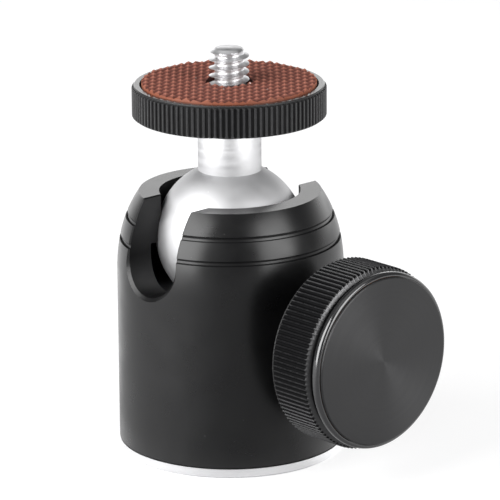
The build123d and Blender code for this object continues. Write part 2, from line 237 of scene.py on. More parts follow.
def buildLamps():
    aim = Vector(studioSet["aim"])
    for name, (turn, lift, distance, width, high, power) in studioSet["lamps"].items():
        place = aim + towards(turn, lift) * distance
        bpy.ops.object.light_add(type="AREA", location=place)
        lamp = named(name)
        lamp.data.shape = "RECTANGLE"
        lamp.data.size = width
        lamp.data.size_y = high
        lamp.data.energy = power
        lamp.rotation_euler = (aim - place).to_track_quat("-Z", "Y").to_euler()


buildFloor()
buildSky()
buildLamps()
bpy.context.scene.view_settings.view_transform = "Standard"
print("stage: studio built")


# shared effects
def newGroup(name, inputs, *outputs):
    group = bpy.data.node_groups.new(name, "ShaderNodeTree")
    for label, value in inputs.items():
        kind = "NodeSocketVector" if isinstance(value, tuple) else "NodeSocketFloat"
        group.interface.new_socket(name=label, in_out="INPUT", socket_type=kind).default_value = value
    for label in outputs:
        group.interface.new_socket(name=label, in_out="OUTPUT", socket_type="NodeSocketFloat")
    given = group.nodes.new("NodeGroupInput").outputs
    result = group.nodes.new("NodeGroupOutput").inputs
    return group, Tree(group), given, result


# fine blasted or anodised grain: a height for Bump and a slow, cloudy mask
def buildGrain():
    inputs = {"Scale": 9000.0, "Cloud Scale": 160.0}
    group, tree, given, result = newGroup("fineGrain", inputs, "Height", "Cloud")
    place = tree.coords()
    tree.feed(tree.noise(place, given["Scale"], 3.0, 0.65), result["Height"])
    tree.feed(tree.noise(place, given["Cloud Scale"], 4.0), result["Cloud"])
    return group


# turning marks: fine rings round an axis, by radius and by place along the axis
def buildBrushing():
    inputs = {"Centre": origin, "Axis": upAxis, "Rings": 9000.0, "Streak": 3.0}
    group, tree, given, result = newGroup("turningMarks", inputs, "Height", "Tone", "Radius")
    place = tree.vector("SUBTRACT", tree.coords(), given["Centre"])
    along = tree.vector("DOT_PRODUCT", place, given["Axis"])
    around = tree.vector("CROSS_PRODUCT", place, given["Axis"])
    radius = tree.vector("LENGTH", around)
    # the marks vary quickly across the rings and slowly round them
    across = [tree.calc("MULTIPLY", part, given["Rings"]) for part in (radius, along)]
    quick = tree.add("CombineXYZ", dict(enumerate(across))).outputs[0]
    heading = tree.vector("NORMALIZE", around)
    slow = tree.add("VectorMath", {0: heading, "Scale": given["Streak"]}, operation="SCALE").outputs[0]
    joined = tree.vector("ADD", quick, slow)
    tree.feed(tree.noise(joined, 1.0, 3.0, 0.6), result["Height"])
    tree.feed(tree.noise(joined, 0.18, 2.0), result["Tone"])
    tree.feed(radius, result["Radius"])
    return group


# small pale specks, scattered by a Voronoi pattern
def buildSpecks():
    group, tree, given, result = newGroup("specks", {"Scale": 900.0, "Size": 0.16, "Share": 0.12}, "Mask")
    inputs = {"Vector": tree.coords(), "Scale": given["Scale"], "Randomness": 1.0}
    cells = tree.add("TexVoronoi", inputs).outputs
    inner = tree.calc("MULTIPLY", given["Size"], 0.55)
    dot = tree.between(cells["Distance"], inner, given["Size"], 1.0, 0.0)
    dice = tree.add("SeparateColor", {0: cells["Color"]}).outputs
    chosen = tree.calc("LESS_THAN", dice[0], given["Share"])
    faint = tree.calc("MULTIPLY_ADD", dice[1], 0.7, 0.3)
    tree.feed(tree.calc("MULTIPLY", dot, tree.calc("MULTIPLY", chosen, faint)), result["Mask"])
    return group


# crests painted lighter as a painted highlight, with rubbed patches of real wear: masks that rise with the
# distance from an axis
def buildCrestSheenAndWear():
    inputs = {"Radius": 0.0, "Low": 0.0150, "High": 0.0153, "Patches": 1400.0}
    group, tree, given, result = newGroup("crestSheenAndWear", inputs, "Crest", "Worn")
    crest = tree.between(given["Radius"], given["Low"], given["High"])
    rubbed = tree.between(tree.noise(tree.coords(), given["Patches"], 3.0), 0.42, 0.68)
    tree.feed(crest, result["Crest"])
    tree.feed(tree.calc("MULTIPLY", crest, rubbed), result["Worn"])
    return group


grainGroup = buildGrain()
brushGroup = buildBrushing()
speckGroup = buildSpecks()
crestSheenAndWearGroup = buildCrestSheenAndWear()
print("stage: effects built")


# materials
class Finish(Tree):
    def __init__(self, name, metallic, ior=1.5, anisotropy=0.0, edgeTint=1.0, turn=0.0):
        self.material = bpy.data.materials.new(name)
        self.material.use_nodes = True
        super().__init__(self.material.node_tree)
        self.inputs = self.nodes["Principled BSDF"].inputs
        constants = {"Metallic": metallic, "IOR": ior, "Anisotropic": anisotropy,
                     "Anisotropic Rotation": turn, "Specular Tint": (edgeTint, edgeTint, edgeTint, 1)}
        for label, value in constants.items():
            self.feed(value, self.inputs[label])

    def place(self, group, **inputs):
        return self.add("Group", inputs, node_tree=group).outputs

    def grain(self, scale, cloudScale):
        return self.place(grainGroup, **{"Scale": scale, "Cloud Scale": cloudScale})

    def colour(self, factor, first, second):
        self.feed(self.mixColour(factor, first, second), self.inputs["Base Color"])

    def surface(self, mask, rough, height, depth, span=(0.3, 0.7)):
        # the roughness runs between two values as the mask goes through its span
        self.feed(self.between(mask, *span, *rough), self.inputs["Roughness"])
        bump = self.add("Bump", {"Strength": 1.0, "Distance": depth, "Height": height})
        self.feed(bump.outputs["Normal"], self.inputs["Normal"])
        return self.material

    def turned(self, axis):
        # highlights spread across the marks of turning about this axis
        tangent = self.add("Tangent", direction_type="RADIAL", axis="X" if axis[0] else "Z")
        self.feed(tangent.outputs[0], self.inputs["Tangent"])


def shade(colour, share):
    return tuple(part * share for part in colour)


anodiseSet = {
    "dark": (0.0024, 0.0024, 0.0027),
    "light": (0.0040, 0.0040, 0.0044),
    "speck": (0.07, 0.07, 0.07),
    "rough": (0.27, 0.33),
    "grain": 0.0000016,
}


def anodisedBlack(name, ior, roughShare):
    s = anodiseSet
    finish = Finish(name, 0.0, ior=ior)
    grain = finish.grain(5200.0, 220.0)
    specks = finish.place(speckGroup, Scale=900.0, Size=0.10, Share=0.05)
    base = finish.mixColour(grain["Cloud"], s["dark"], s["light"])
    finish.colour(specks["Mask"], base, s["speck"])
    return finish.surface(grain["Cloud"], shade(s["rough"], roughShare), grain["Height"], s["grain"])


knurlSet = {
    "dark": (0.002, 0.002, 0.0023),
    "light": (0.004, 0.004, 0.0044),
    # the crests' lighter colour is a painted highlight
    "crest": (0.022, 0.022, 0.023),
    "rough": (0.50, 0.22),  # between the ribs and on their crests
    "grain": 0.0000015,
}


def knurledBlack(name, centre, axis, lowRadius, highRadius, worn):
    s = knurlSet
    finish = Finish(name, 0.0)
    grain = finish.grain(6000.0, 400.0)
    marks = finish.place(brushGroup, Centre=centre, Axis=axis, Rings=4000.0)
    sheenAndWear = finish.place(crestSheenAndWearGroup, Radius=marks["Radius"], Low=lowRadius, High=highRadius)
    base = finish.mixColour(grain["Cloud"], s["dark"], s["light"])
    # the crests are painted lighter as a highlight, the worn patches lighter still as wear
    crest = finish.mixColour(sheenAndWear["Crest"], base, s["crest"])
    finish.colour(sheenAndWear["Worn"], crest, (worn, worn, worn * 1.04))
    return finish.surface(sheenAndWear["Crest"], s["rough"], grain["Height"], s["grain"], (0.0, 1.0))


def satinBall():
    finish = Finish("satinBall", 1.0, edgeTint=0.6)
    grain = finish.grain(5200.0, 260.0)
    specks = finish.place(speckGroup, Scale=700.0, Size=0.10, Share=0.06)
    base = finish.mixColour(grain["Cloud"], (0.69, 0.69, 0.70), (0.77, 0.77, 0.78))
    finish.colour(specks["Mask"], base, (0.97, 0.97, 0.97))
    return finish.surface(grain["Cloud"], (0.55, 0.63), grain["Height"], 0.0000045)


def turnedBright(name, centre, axis, colour, rough, depth, rings, anisotropy, edgeTint=1.0):
    finish = Finish(name, 1.0, anisotropy=anisotropy, edgeTint=edgeTint)
    marks = finish.place(brushGroup, Centre=centre, Axis=axis, Rings=rings)
    finish.colour(marks["Tone"], shade(colour, 0.86), colour)
    finish.turned(axis)
    return finish.surface(marks["Tone"], (rough * 0.85, rough * 1.2), marks["Height"], depth)


def plainMetal(name, colour, rough):
    finish = Finish(name, 1.0)
    grain = finish.grain(4000.0, 500.0)
    finish.colour(grain["Cloud"], shade(colour, 0.8), colour)
    return finish.surface(grain["Cloud"], (rough * 0.8, rough * 1.25), grain["Height"], 0.000002)


def plainPolymer(name, colour, rough):
    finish = Finish(name, 0.0, ior=1.48)
    grain = finish.grain(3000.0, 350.0)
    finish.colour(grain["Cloud"], colour, shade(colour, 1.35))
    return finish.surface(grain["Cloud"], (rough * 0.85, rough * 1.15), grain["Height"], 0.000004)


padFinishSet = {
    "valleyHeight": 0.0594,
    "tipHeight": 0.05995,
    # darker down between the pyramids as painted shade, lighter at their tips as painted highlight
    "deep": (0.070, 0.024, 0.020),
    "middle": (0.245, 0.082, 0.056),
    "tip": (0.40, 0.165, 0.115),
    "tipStart": 0.45,       # share of the rise from which the tips' colour sets in
    "cloud": (0.20, 0.045, 0.025),
    "cloudShare": 0.35,
    "edge": (0.30, 0.096, 0.052),
    "edgeReach": (0.01352, 0.01368),    # the plain edge, by radius
    "edgeShare": 0.8,
    "paleSpeck": (0.80, 0.74, 0.70),
    "paleSpeckReach": (0.0035, 0.0095),      # it thins out from the screw
    "paleSpeckFar": 0.12,        # to this share
}


def padRubber():
    s = padFinishSet
    finish = Finish("padRubber", 0.0, ior=1.46)
    rise = finish.between(finish.height(finish.coords()), s["valleyHeight"], s["tipHeight"])
    grain = finish.grain(2600.0, 420.0)
    specks = finish.place(speckGroup, Scale=1000.0, Size=0.20, Share=0.22)
    radius = finish.place(brushGroup, Centre=origin, Axis=upAxis)["Radius"]
    # the rise from valley to tip paints shade low down and a highlight on the tips
    low = finish.mixColour(rise, s["deep"], s["middle"])
    body = finish.mixColour(finish.between(rise, s["tipStart"], 1.0), low, s["tip"])
    cloudy = finish.mixColour(finish.calc("MULTIPLY", grain["Cloud"], s["cloudShare"]), body, s["cloud"])
    edge = finish.calc("MULTIPLY", finish.between(radius, *s["edgeReach"]), s["edgeShare"])
    edged = finish.mixColour(edge, cloudy, s["edge"])
    nearScrew = finish.between(radius, *s["paleSpeckReach"], 1.0, s["paleSpeckFar"])
    finish.colour(finish.calc("MULTIPLY", specks["Mask"], nearScrew), edged, s["paleSpeck"])
    return finish.surface(grain["Cloud"], (0.38, 0.52), grain["Height"], 0.000012)


def beadPolished(centre, axis):
    finish = Finish("beadPolished", 0.0, ior=1.9)
    marks = finish.place(brushGroup, Centre=centre, Axis=axis, Rings=9000.0)
    finish.colour(marks["Tone"], (0.010, 0.010, 0.011), (0.016, 0.016, 0.017))
    return finish.surface(marks["Tone"], (0.10, 0.17), marks["Height"], 0.0000005)


def capBrushed(centre, axis):
    finish = Finish("capBrushed", 0.6, ior=1.6, anisotropy=0.75, turn=0.25)
    marks = finish.place(brushGroup, Centre=centre, Axis=axis, Rings=11000.0, Streak=4.0)
    finish.colour(marks["Tone"], (0.030, 0.030, 0.031), (0.042, 0.042, 0.043))
    finish.turned(axis)
    return finish.surface(marks["Tone"], (0.32, 0.40), marks["Height"], 0.0000012)


upright = (origin, upAxis)
sideways = (knobCentre, sideAxis)
materials = {
    "housing_black": anodisedBlack("anodisedBlack", 1.50, 1.0),
    "housing_ring": anodisedBlack("ringTurned", 2.1, 0.7),
    # a darker finish standing in as painted shade in the grooves
    "groove_painted_shade": anodisedBlack("groovePaintedShade", 1.22, 1.6),
    # a darker finish standing in as painted shade in the notch
    "notch_painted_shade": anodisedBlack("notchPaintedShade", 1.34, 1.2),
    "base_bright": turnedBright("baseBright", *upright, (0.93, 0.93, 0.94), 0.42, 0.0000020, 5000.0, 0.45),
    "ball_satin": satinBall(),
    "stem_turned": turnedBright("stemTurned", *upright, (0.82, 0.82, 0.83), 0.42, 0.0000008, 7000.0,
                                0.7, 0.1),
    "platform_black": knurledBlack("platformBlack", *upright, 0.01506, 0.01527, 0.028),
    # a darker finish standing in as painted shade between the ribs
    "platform_valley_shade": anodisedBlack("platformValleyShade", 1.27, 1.5),
    "platform_rim": anodisedBlack("rimTurned", 2.1, 0.60),
    "knob_black": knurledBlack("knobBlack", *sideways, 0.01414, 0.01434, 0.034),
    # a darker finish standing in as painted shade between the ribs
    "knob_valley_shade": anodisedBlack("knobValleyShade", 1.13, 1.5),
    "knob_worn": plainMetal("knobWorn", (0.11, 0.11, 0.112), 0.34),
    "knob_bead": beadPolished(*sideways),
    "cap_grey": capBrushed(*sideways),
    "screw_steel": turnedBright("screwSteel", *upright, (0.74, 0.74, 0.75), 0.38, 0.0000010, 5000.0, 0.0),
    "clamp_steel": turnedBright("clampSteel", *sideways, (0.62, 0.62, 0.63), 0.26, 0.0000010, 5000.0, 0.3),
    "spring_steel": plainMetal("springSteel", (0.42, 0.42, 0.44), 0.32),
    "dark_steel": plainMetal("darkSteel", (0.10, 0.10, 0.105), 0.36),
    "tip_brass": plainMetal("tipBrass", (0.72, 0.50, 0.20), 0.28),
    "seat_polymer": plainPolymer("seatPolymer", (0.018, 0.018, 0.019), 0.45),
    "washer_nylon": plainPolymer("washerNylon", (0.020, 0.020, 0.020), 0.50),
    "pad_rubber": padRubber(),
    "film_clear": plainPolymer("filmAmber", (0.20, 0.075, 0.025), 0.30),
}
print("stage: materials made")


# modelling helpers
def clearSelection():
    if bpy.context.object and bpy.context.object.mode != "OBJECT":
        bpy.ops.object.mode_set(mode="OBJECT")
    bpy.ops.object.select_all(action="DESELECT")


def pick(piece, *others):
    clearSelection()
    for item in (piece, *others):
        item.select_set(True)
    bpy.context.view_layer.objects.active = piece


def selectAll():
    bpy.ops.mesh.select_all(action="SELECT")


def facesOut():
    selectAll()
    bpy.ops.mesh.normals_make_consistent(inside=False)


def editAll():
    bpy.ops.object.mode_set(mode="EDIT")
    selectAll()


def editWhere(piece, test):
    # opens the picked piece with the vertices selected whose places pass
    bpy.ops.object.mode_set(mode="EDIT")
    bpy.ops.mesh.select_all(action="DESELECT")
    bpy.ops.object.mode_set(mode="OBJECT")
    for vertex in piece.data.vertices:
        vertex.select = test(vertex.co)
    bpy.ops.object.mode_set(mode="EDIT")


def endEdit():
    bpy.ops.object.mode_set(mode="OBJECT")


def drawOut(step):
    bpy.ops.mesh.extrude_region_move(TRANSFORM_OT_translate={"value": step})


def widen(share, height=0):
    bpy.ops.transform.resize(value=(share, share, 1), center_override=(0, 0, height))


def turnBack(degrees, axis):
    bpy.ops.transform.rotate(value=-math.radians(degrees), orient_axis=axis, center_override=origin)


def awayFromAxis(place):
    return math.hypot(place.x, place.y)


def settle(piece, smoothAngle=30):
    # merges what meets, turns the faces outwards and shades by angle
    pick(piece)
    bpy.ops.object.transform_apply()
    editAll()
    bpy.ops.mesh.remove_doubles(threshold=weld)
    facesOut()
    endEdit()
    bpy.ops.object.shade_smooth_by_angle(angle=math.radians(smoothAngle))


def growRing(fromCorner, toCorner):
    # draws the selected ring out to the next corner of a profile
    (r0, z0), (r1, z1) = fromCorner, toCorner
    drawOut((0, 0, z1 - z0))
    if abs(r1 - r0) > 1e-9:
        widen(max(r1, 1e-9) / r0, z1)


def turnProfile(name, corners, sides):
    # a ring is drawn out from corner to corner; the first and last corner meet or lie on the axis
    radius, height = corners[0]
    clearSelection()
    bpy.ops.mesh.primitive_circle_add(vertices=sides, radius=radius)
    piece = named(name)
    editAll()
    bpy.ops.transform.translate(value=(0, 0, height))
    for before, after in zip(corners, corners[1:]):
        growRing(before, after)
    endEdit()
    return piece


def closeEnd(piece, radius, height):
    # draws the ring of that radius and height in to the axis
    pick(piece)
    editWhere(piece, lambda place: abs(awayFromAxis(place) - radius) < 0.01 * mm
              and abs(place.z - height) < 0.001 * mm)
    growRing((radius, height), (0, height))
    endEdit()


def addCylinder(sides, radius, depth, place):
    clearSelection()
    bpy.ops.mesh.primitive_cylinder_add(vertices=sides, radius=radius, depth=depth, location=place)
    return bpy.context.object


def combine(piece, tool, operation):
    pick(piece)
    cut = piece.modifiers.new("combine", "BOOLEAN")
    cut.operation = operation
    cut.solver = "EXACT"
    cut.object = tool
    bpy.ops.object.modifier_apply(modifier="combine")
    bpy.data.objects.remove(tool)


def arcCorners(centre, radius, startAngle, endAngle, steps):
    found = []
    for index in range(steps + 1):
        angle = math.radians(startAngle + (endAngle - startAngle) * index / steps)
        found.append((centre[0] + radius * math.cos(angle), centre[1] + radius * math.sin(angle)))
    return found


def roundedEdge(radius, top, edge, inset=0.35):
    # three corners over an outer edge, from the side to the top
    return [(radius, top - edge), (radius - edge * inset, top - edge * 0.3), (radius - edge, top)]


def layAlongX(piece):
    # what was turned about Z is laid along the clamp's axis
    pick(piece)
    editAll()
    turnBack(90, "Y")
    bpy.ops.transform.translate(value=knobCentre)
    endEdit()


def paint(piece, *names):
    piece.data.materials.clear()
    for name in names:
        piece.data.materials.append(materials[name])


def paintWhere(piece, slotIndex, test):
    for face in piece.data.polygons:
        if test(face.center, face.normal):
            face.material_index = slotIndex


def ribColumn(place, s):
    # how many columns a place lies from the crest of its rib
    around = math.atan2(place.y, place.x) / (2 * math.pi)
    column = round(around * s["ribs"] * s["sidesPerRib"]) % s["sidesPerRib"]
    return min(column, s["sidesPerRib"] - column)


def raiseRibs(piece, s, root, low, high):
    # raises every rib's columns from a plain drum, between two heights
    pick(piece)
    for step, share in enumerate(s["ribShape"]):
        editWhere(piece, lambda place: low - 1e-7 < place.z < high + 1e-7
                  and abs(awayFromAxis(place) - root) < 1e-6 and ribColumn(place, s) == step)
        widen((root + s["ribDepth"] * share) / root)
    endEdit()


def arcCentre(start, outward, end):
    # centre of the arc that leaves start square to outward and runs to end
    chord = start - end
    return start - outward * (chord.dot(chord) / (2 * chord.dot(outward)))


# housing
housingSet = {
    "low": 1.5 * mm,
    "edge": 0.25 * mm,
    "wall": 18.0 * mm,
    "shoulder": Vector((18.0, 29.2)) * mm,
    "knee": Vector((17.55, 34.3)) * mm,
    "crown": Vector((14.4, 42.0)) * mm,
    "crownStep": 0.4 * mm,  # height between the rings of the curved part
    "mouth": 11.2 * mm,
    "bearing": 11.97 * mm,
    "step": 34.4 * mm,      # the bore ends and the ball's bearing starts
    "bore": 13.2 * mm,
    "grooves": (34.8 * mm, 38.35 * mm),
    "grooveWidth": 0.74 * mm,
    "grooveDepth": 0.34 * mm,
    "grooveLit": (0.20, 0.62),  # the lit part of a groove's floor, as shares of its width
    "lip": 0.04 * mm,
    "notchHalf": 5.4 * mm,
    "notchArc": 33.25 * mm,
    "bevel": 0.5 * mm,
    "sideBevel": 0.24 * mm, # it narrows to this up the notch's sides
    "bevelRise": 3.0 * mm,
    "bevelPast": 2.2,       # the cutter carries the bevel on this many times its width
    "topBevel": 0.2 * mm,
    "spot": 16.8 * mm,      # flat under the knob's washer
    "spotRadius": 6.3 * mm,
    "clampHole": 3.05 * mm,
    "screwHole": 0.82 * mm,
    "screwCircle": 15.85 * mm,
    "screwMiddle": 4.25 * mm,
    "screwDepth": 6.5 * mm,
    "near": 0.01 * mm,
    "levelFace": 0.99,      # the normal of a level face rises at least this much
    "wallFace": 0.03,       # and that of a notch's wall leans towards Y at most this much
    "sides": 384,
}


def outsideArcs():
    # (lowest, highest, centre) of the two arcs above the plain wall
    s = housingSet
    lower = arcCentre(s["shoulder"], Vector((1, 0)), s["knee"])
    upper = arcCentre(s["knee"], (s["knee"] - lower).normalized(), s["crown"])
    return (s["shoulder"].y, s["knee"].y, lower), (s["knee"].y, s["crown"].y, upper)


def outsideRadius(height):
    s = housingSet
    if height <= s["shoulder"].y:
        return s["wall"]
    height = min(height, s["crown"].y)
    lower, upper = outsideArcs()
    centre = lower[2] if height <= s["knee"].y else upper[2]
    return centre.x + math.sqrt((s["knee"] - centre).length_squared - (height - centre.y) ** 2)


def grooveEdges(height):
    # a groove's lower and upper edge, the way from one to the other and the way in
    reach = housingSet["grooveWidth"] / 2
    below = Vector((outsideRadius(height - reach), height - reach))
    above = Vector((outsideRadius(height + reach), height + reach))
    along = (above - below).normalized()
    return below, above, along, Vector((-along.y, along.x))


def grooveCorners(height):
    s = housingSet
    below, above, along, inward = grooveEdges(height)
    start = height - s["grooveWidth"] / 2 - s["lip"]
    corners = [(outsideRadius(start), start)]
    litLow, litHigh = (below.lerp(above, share) for share in s["grooveLit"])
    for place, depth in ((below, s["lip"]), (below, s["grooveDepth"]), (litLow, s["grooveDepth"]),
                         (litHigh, s["grooveDepth"]), (above, s["grooveDepth"]), (above, s["lip"])):
        corner = place + inward * depth
        corners.append((corner.x, corner.y))
    return corners


def grooveShaded(middle, normal):
    # the groove's walls and the edges of its floor, given a darker finish as painted shade
    s = housingSet
    width, floor = s["grooveWidth"], s["grooveDepth"]
    near = 2 * s["near"]
    for height in s["grooves"]:
        below, above, along, inward = grooveEdges(height)
        away = Vector((awayFromAxis(middle), middle.z)) - below
        depth, rise = away.dot(inward), away.dot(along)
        inside = near < depth < floor + near and -s["lip"] < rise + s["near"] < width + 6 * s["near"]
        litLow, litHigh = (share * width for share in s["grooveLit"])
        if inside and (depth < floor - near or not litLow < rise < litHigh):
            return True
    return False


def housingOutline():
    # up the outside, over the flat ring and down the inside
    s = housingSet
    corners = [(s["bore"], s["low"]), (s["wall"] - s["edge"], s["low"]), (s["wall"], s["low"] + s["edge"])]
    height = s["shoulder"].y
    reach = s["grooveWidth"] / 2 + s["lip"]
    for groove in (*s["grooves"], None):
        stop = groove - reach if groove else s["crown"].y
        steps = round((stop - height) / s["crownStep"])
        for index in range(steps):
            level = height + (stop - height) * index / steps
            corners.append((outsideRadius(level), level))
        if groove:
            corners += grooveCorners(groove)
            height = groove + reach
    corners += [(s["crown"].x, s["crown"].y), (s["mouth"], s["crown"].y)]
    high = math.degrees(math.acos(s["mouth"] / s["bearing"]))
    low = math.degrees(math.asin((s["step"] - ballHeight) / s["bearing"]))
    corners += arcCorners((0, ballHeight), s["bearing"], high, low, 10)
    corners += [(s["bore"], s["step"]), (s["bore"], s["low"])]
    return corners


def notchOutline():
    # (x, z) of the notch's edge seen along Y, each with its way out of the notch
    s = housingSet
    half, arc = s["notchHalf"], s["notchArc"]
    top = s["crown"].y + 1 * mm
    sideSteps, arcSteps = 30, 72
    levels = [top - (top - arc) * index / sideSteps for index in range(sideSteps)]
    outline = [((-half, level), (-1, 0)) for level in levels]
    for index in range(arcSteps + 1):
        angle = math.pi + math.pi * index / arcSteps
        out = (math.cos(angle), math.sin(angle))
        outline.append(((half * out[0], arc + half * out[1]), out))
    return outline + [((half, level), (1, 0)) for level in reversed(levels)]


def wallDepth(x, z):
    return math.sqrt(outsideRadius(z) ** 2 - x ** 2)


def bevelWidth(height):
    s = housingSet
    share = min(max((height - s["notchArc"]) / s["bevelRise"] + 0.5, 0), 1)
    return s["bevel"] + (s["sideBevel"] - s["bevel"]) * share


def notchCutter():
    # a round-ended slot that opens out by the bevel where it meets the outside
    s = housingSet
    outline = notchOutline()
    far = s["wall"] + 6 * mm
    past = s["bevelPast"]
    rings = []
    for (x, z), (outX, outZ) in outline:
        edge = wallDepth(x, z)
        bevel = bevelWidth(z)
        slope = (wallDepth(x + outX * bevel, z + outZ * bevel) - edge) / bevel
        reach = bevel / math.sqrt(1 + slope ** 2)
        rise = bevel + slope * reach
        wide = (x + outX * reach * past, z + outZ * reach * past)
        near = edge - bevel
        rings.append([(*wide, -far), (*wide, -near - rise * past), (x, z, -near),
                      (x, z, near), (*wide, near + rise * past), (*wide, far)])
    clearSelection()
    bpy.ops.mesh.primitive_circle_add(vertices=len(outline), radius=1, fill_type="NGON")
    cutter = bpy.context.object
    for vertex, ((x, z), out) in zip(cutter.data.vertices, outline):
        vertex.co = (x, 0, z)
    editAll()
    for ring in rings[0][1:]:
        drawOut((0, 1 * mm, 0))
    endEdit()
    places = {(round(x, 6), round(z, 6)): ring for ((x, z), out), ring in zip(outline, rings)}
    for vertex in cutter.data.vertices:
        ring = places[(round(vertex.co.x, 6), round(vertex.co.z, 6))]
        x, z, y = ring[round(vertex.co.y / mm)]
        vertex.co = (x, y, z)
    settle(cutter)
    return cutter


def clampCutter():
    s = housingSet
    inner = 10 * mm
    outer = s["wall"] + 2 * mm
    corners = [(s["clampHole"], inner), (s["clampHole"], s["spot"]), (s["spotRadius"], s["spot"]),
               (s["spotRadius"], outer), (0, outer)]
    cutter = turnProfile("clampCutter", corners, 96)
    closeEnd(cutter, s["clampHole"], inner)
    layAlongX(cutter)
    settle(cutter)
    return cutter


def screwCutters():
    s = housingSet
    made = []
    for index in range(4):
        angle = math.radians(90 * index + 45)
        place = (s["screwCircle"] * math.cos(angle), s["screwCircle"] * math.sin(angle), s["screwMiddle"])
        made.append(addCylinder(24, s["screwHole"], s["screwDepth"], place))
        settle(made[-1])
    return made


def topFlare():
    # widens the notches by the small bevel at the flat ring
    s = housingSet
    high = 1 * mm
    clearSelection()
    place = (0, 0, s["crown"].y - s["topBevel"] + high / 2)
    bpy.ops.mesh.primitive_cube_add(size=1, location=place, scale=(2 * s["notchHalf"], 40 * mm, high))
    flare = bpy.context.object
    settle(flare)
    wider = (s["notchHalf"] + high) / s["notchHalf"]
    for vertex in flare.data.vertices:
        if vertex.co.z > place[2]:
            vertex.co.x *= wider
    return flare


def outlineNormal(radius, height, slope):
    # the true normal of a turned face's corner, where the face lies on an arc
    s = housingSet
    curves = [(low, high, centre, 1) for low, high, centre in outsideArcs()]
    curves.append((s["step"], s["crown"].y, Vector((0, ballHeight)), -1))
    for low, high, centre, side in curves:
        true = (Vector((radius, height)) - centre).normalized() * side
        if low - 1e-6 < height < high + 1e-6 and true.dot(slope) > 0.985:
            return true
    return slope


def smoothTurned(piece, notched=False):
    # gives turned faces and notch walls the normals of the true surface, corner by corner
    s = housingSet
    arc = s["notchArc"]
    reach = s["notchHalf"] + s["bevel"]
    mesh = piece.data
    found = [Vector(corner.vector) for corner in mesh.corner_normals]
    for face in mesh.polygons:
        middle, normal = face.center, face.normal
        corners = [(index, mesh.vertices[mesh.loops[index].vertex_index].co) for index in face.loop_indices]
        if notched and abs(middle.x) < reach and middle.z > arc - reach:
            onWall = abs(normal.y) <= s["wallFace"] and normal.z <= s["levelFace"]
            if not onWall or abs(middle.x) > s["notchHalf"] + s["near"]:
                continue
            for index, place in corners:
                below = min(place.z - arc, 0)
                found[index] = -Vector((place.x, 0, below)).normalized()
            continue
        spoke = Vector((middle.x, middle.y, 0)).normalized()
        onSpot = normal.x > 0.999 and abs(middle.x - s["spot"]) < s["near"]
        if abs(spoke.cross(normal).z) > 0.05 or onSpot:
            continue
        slope = Vector((spoke.dot(normal), normal.z)).normalized()
        for index, place in corners:
            radius = awayFromAxis(place)
            out, up = outlineNormal(radius, place.z, slope) if notched else slope
            found[index] = Vector((out * place.x, out * place.y, up * radius)).normalized()
    mesh.normals_split_custom_set(found)


def notchFace(middle, normal):
    # the notch's walls, and its bevels up the sides, given a darker finish as painted shade
    s = housingSet
    half, near = s["notchHalf"], s["near"]
    if middle.z < s["notchArc"] - half - near or normal.z > s["levelFace"]:
        return False
    if abs(normal.y) < s["wallFace"]:
        return abs(middle.x) < half + near
    beside = half - near < abs(middle.x) < half + s["bevel"]
    return beside and middle.z > s["notchArc"] + s["bevelRise"] / 2 and normal.x * middle.x < -0.1 * mm


def buildHousing():
    s = housingSet
    piece = turnProfile("housingShell", housingOutline(), s["sides"])
    settle(piece)
    cutters = [notchCutter(), clampCutter(), *screwCutters()]
    pick(*cutters)
    bpy.ops.object.join()
    combine(piece, cutters[0], "DIFFERENCE")
    combine(piece, topFlare(), "DIFFERENCE")
    settle(piece, 24)
    paint(piece, "housing_black", "housing_ring", "groove_painted_shade", "notch_painted_shade")
    # the notch's walls and upper side bevels get a darker finish as painted shade
    paintWhere(piece, 3, notchFace)
    # the grooves' walls and floor edges get a darker finish as painted shade
    paintWhere(piece, 2, grooveShaded)
    ringLow = s["crown"].y - s["near"]
    paintWhere(piece, 1, lambda middle, normal: normal.z > s["levelFace"] and middle.z > ringLow)
    smoothTurned(piece, notched=True)
    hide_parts("housing")
    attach(piece, "housing")


def buildBase():
    # a merged copy of the CAD node, smoothed all round
    piece = bpy.data.objects.new("basePlate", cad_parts["base_plate"].data.copy())
    bpy.context.collection.objects.link(piece)
    settle(piece, 24)
    paint(piece, "base_bright")
    smoothTurned(piece)
    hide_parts("base_plate")
    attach(piece, "housing")


buildHousing()
buildBase()
print("stage: housing and base")


# ball and stem
ballSet = {
    "ballRadius": 11.85 * mm,
    "stemRadius": 5.0 * mm,
    "stemTop": 54.05 * mm,
    "stemEdge": 0.25 * mm,
    "holeRadius": 3.225 * mm,
    "holeFloor": 44.55 * mm,
    "sides": 256,
}


def buildBall():
    s = ballSet
    meet = math.sqrt(s["ballRadius"] ** 2 - s["stemRadius"] ** 2)
    corners = [
        (s["holeRadius"], s["holeFloor"]),
        (s["holeRadius"], s["stemTop"] - s["stemEdge"] / 2),
        (s["holeRadius"] + s["stemEdge"] / 2, s["stemTop"]),
        *reversed(roundedEdge(s["stemRadius"], s["stemTop"], s["stemEdge"], 0.3)),
    ]
    startAngle = math.degrees(math.atan2(meet, s["stemRadius"]))
    corners += arcCorners((0, ballHeight), s["ballRadius"], startAngle, -90, 96)
    piece = turnProfile("ballAndStem", corners, s["sides"])
    closeEnd(piece, s["holeRadius"], s["holeFloor"])
    settle(piece, 28)
    paint(piece, "ball_satin", "stem_turned")
    stemLow = ballHeight + meet - 1e-6
    paintWhere(piece, 1, lambda middle, normal: middle.z > stemLow or awayFromAxis(middle) < s["holeRadius"])
    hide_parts("ball_and_stem")
    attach(piece, "ball")


buildBall()
print("stage: ball and stem")


